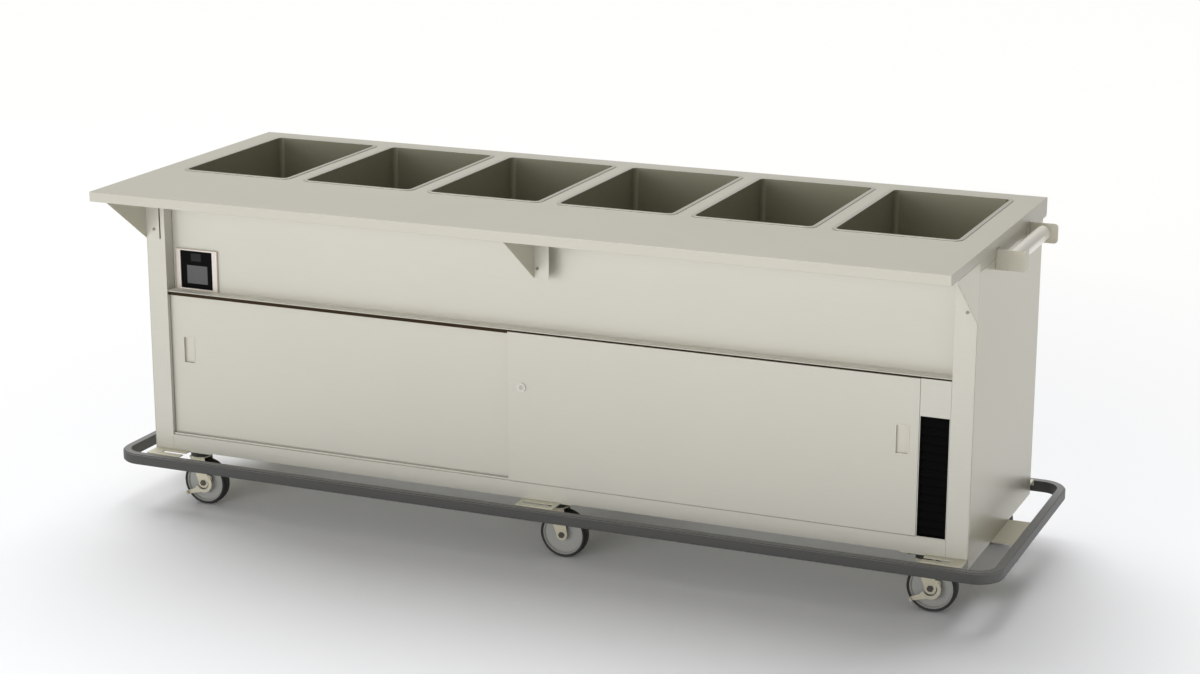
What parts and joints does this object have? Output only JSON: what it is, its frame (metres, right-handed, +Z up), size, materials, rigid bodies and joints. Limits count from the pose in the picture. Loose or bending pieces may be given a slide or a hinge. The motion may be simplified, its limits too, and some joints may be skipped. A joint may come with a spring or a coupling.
{
  "type": "mobile steam table",
  "caption": "Mobile steam table: worktop with hot wells over a closed cabinet with sliding doors, push handle, bumper ring and swivel casters.",
  "frame": {"origin": "on the floor under the middle of the whole outline", "axes": "+X towards the end with the push handle, +Y towards the back, +Z up"},
  "size_m": [2.468, 0.948, 0.922],
  "materials": {
    "top_steel": "satin brushed",
    "well_steel": "satin, in shade",
    "heater_metal": "dull",
    "pipe_steel": "satin",
    "valve_brass": "plain",
    "lever_red": "gloss",
    "body_steel": "satin",
    "panel_steel": "polished satin",
    "vent_black": "matt black",
    "track_dark": "dark anodised",
    "door_steel": "satin",
    "pull_steel": "satin",
    "lock_chrome": "bright",
    "lock_plug_metal": "satin",
    "bezel_steel": "satin",
    "control_black": "gloss black",
    "screen_dark": "smoked window",
    "bracket_steel": "satin",
    "fastener_steel": "plain",
    "tube_steel": "satin",
    "handle_steel": "satin",
    "bumper_grey": "matt grey",
    "chassis_beige": "satin beige",
    "caster_zinc": "dark plated",
    "fork_zinc": "pale plated",
    "wheel_grey": "grey",
    "tyre_black": "matt black",
    "brake_zinc": "pale plated"
  },
  "bodies": {
    "cabinet": {"countertop": "top_steel", "well_pan_1": "well_steel", "well_pan_2": "well_steel", "well_pan_3": "well_steel", "well_pan_4": "well_steel", "well_pan_5": "well_steel", "well_pan_6": "well_steel", "heating_plates": "heater_metal", "drain_manifold": "pipe_steel", "valve_body": "valve_brass", "end_panel_left": "panel_steel", "end_panel_right": "panel_steel", "back_panel": "body_steel", "bottom_deck": "body_steel", "front_stiles": "body_steel", "fascia": "body_steel", "bottom_rail": "body_steel", "vent_post": "body_steel", "vent_grille": "vent_black", "door_tracks": "track_dark", "control_bezel": "bezel_steel", "control_module": "control_black", "display_window": "screen_dark", "gusset_brackets": "bracket_steel", "gusset_screws": "fastener_steel", "handle_tube": "tube_steel", "handle_brackets": "handle_steel", "bumper": "bumper_grey", "cross_members": "chassis_beige", "end_brackets": "chassis_beige", "caster_plates": "caster_zinc"},
    "left_door": {"door_left": "door_steel", "pull_left": "pull_steel"},
    "right_door": {"door_right": "door_steel", "pull_right": "pull_steel", "lock_housing": "lock_chrome"},
    "lock": {"lock_plug": "lock_plug_metal"},
    "drain_lever": {"valve_lever": "lever_red"},
    "swivel_1": {"fork_1": "fork_zinc"},
    "roller_1": {"wheel_1": "wheel_grey", "tyre_1": "tyre_black"},
    "brake_lever_1": {"brake_1": "brake_zinc"},
    "swivel_2": {"fork_2": "fork_zinc"},
    "roller_2": {"wheel_2": "wheel_grey", "tyre_2": "tyre_black"},
    "swivel_3": {"fork_3": "fork_zinc"},
    "roller_3": {"wheel_3": "wheel_grey", "tyre_3": "tyre_black"},
    "brake_lever_3": {"brake_3": "brake_zinc"},
    "swivel_4": {"fork_4": "fork_zinc"},
    "roller_4": {"wheel_4": "wheel_grey", "tyre_4": "tyre_black"},
    "swivel_5": {"fork_5": "fork_zinc"},
    "roller_5": {"wheel_5": "wheel_grey", "tyre_5": "tyre_black"},
    "swivel_6": {"fork_6": "fork_zinc"},
    "roller_6": {"wheel_6": "wheel_grey", "tyre_6": "tyre_black"}
  },
  "joints": [
    {"name": "left_door_slide", "type": "slide", "parent": "cabinet", "child": "left_door", "axis": [1, 0, 0], "range_m": [0, 1]},
    {"name": "right_door_slide", "type": "slide", "parent": "cabinet", "child": "right_door", "axis": [1, 0, 0], "range_m": [-1, 0]},
    {"name": "lock_turn", "type": "hinge", "parent": "right_door", "child": "lock", "pos_m": [-0.038, -0.219, 0.454], "axis": [0, 1, 0], "range_deg": [0, 90]},
    {"name": "drain_lever_turn", "type": "hinge", "parent": "cabinet", "child": "drain_lever", "pos_m": [0.9875, 0.09, 0.703], "axis": [0, 1, 0], "range_deg": [0, 90]},
    {"name": "swivel_1_turn", "type": "hinge", "parent": "cabinet", "child": "swivel_1", "pos_m": [-1.028, -0.177, 0.14], "axis": [0, 0, 1], "continuous": true},
    {"name": "wheel_1_spin", "type": "hinge", "parent": "swivel_1", "child": "roller_1", "pos_m": [-1.01, -0.177, 0.0635], "axis": [0, 1, 0], "continuous": true},
    {"name": "brake_1_press", "type": "hinge", "parent": "swivel_1", "child": "brake_lever_1", "pos_m": [-0.99238, -0.201, 0.07828], "axis": [0, 1, 0], "range_deg": [-10, 0]},
    {"name": "swivel_2_turn", "type": "hinge", "parent": "cabinet", "child": "swivel_2", "pos_m": [0.046, -0.177, 0.14], "axis": [0, 0, 1], "continuous": true},
    {"name": "wheel_2_spin", "type": "hinge", "parent": "swivel_2", "child": "roller_2", "pos_m": [0.064, -0.177, 0.0635], "axis": [0, 1, 0], "continuous": true},
    {"name": "swivel_3_turn", "type": "hinge", "parent": "cabinet", "child": "swivel_3", "pos_m": [1.028, -0.177, 0.14], "axis": [0, 0, 1], "continuous": true},
    {"name": "wheel_3_spin", "type": "hinge", "parent": "swivel_3", "child": "roller_3", "pos_m": [1.046, -0.177, 0.0635], "axis": [0, 1, 0], "continuous": true},
    {"name": "brake_3_press", "type": "hinge", "parent": "swivel_3", "child": "brake_lever_3", "pos_m": [1.06362, -0.201, 0.07828], "axis": [0, 1, 0], "range_deg": [-10, 0]},
    {"name": "swivel_4_turn", "type": "hinge", "parent": "cabinet", "child": "swivel_4", "pos_m": [-1.028, 0.358, 0.14], "axis": [0, 0, 1], "continuous": true},
    {"name": "wheel_4_spin", "type": "hinge", "parent": "swivel_4", "child": "roller_4", "pos_m": [-1.01, 0.358, 0.0635], "axis": [0, 1, 0], "continuous": true},
    {"name": "swivel_5_turn", "type": "hinge", "parent": "cabinet", "child": "swivel_5", "pos_m": [0.046, 0.358, 0.14], "axis": [0, 0, 1], "continuous": true},
    {"name": "wheel_5_spin", "type": "hinge", "parent": "swivel_5", "child": "roller_5", "pos_m": [0.064, 0.358, 0.0635], "axis": [0, 1, 0], "continuous": true},
    {"name": "swivel_6_turn", "type": "hinge", "parent": "cabinet", "child": "swivel_6", "pos_m": [1.028, 0.358, 0.14], "axis": [0, 0, 1], "continuous": true},
    {"name": "wheel_6_spin", "type": "hinge", "parent": "swivel_6", "child": "roller_6", "pos_m": [1.046, 0.358, 0.0635], "axis": [0, 1, 0], "continuous": true}
  ]
}
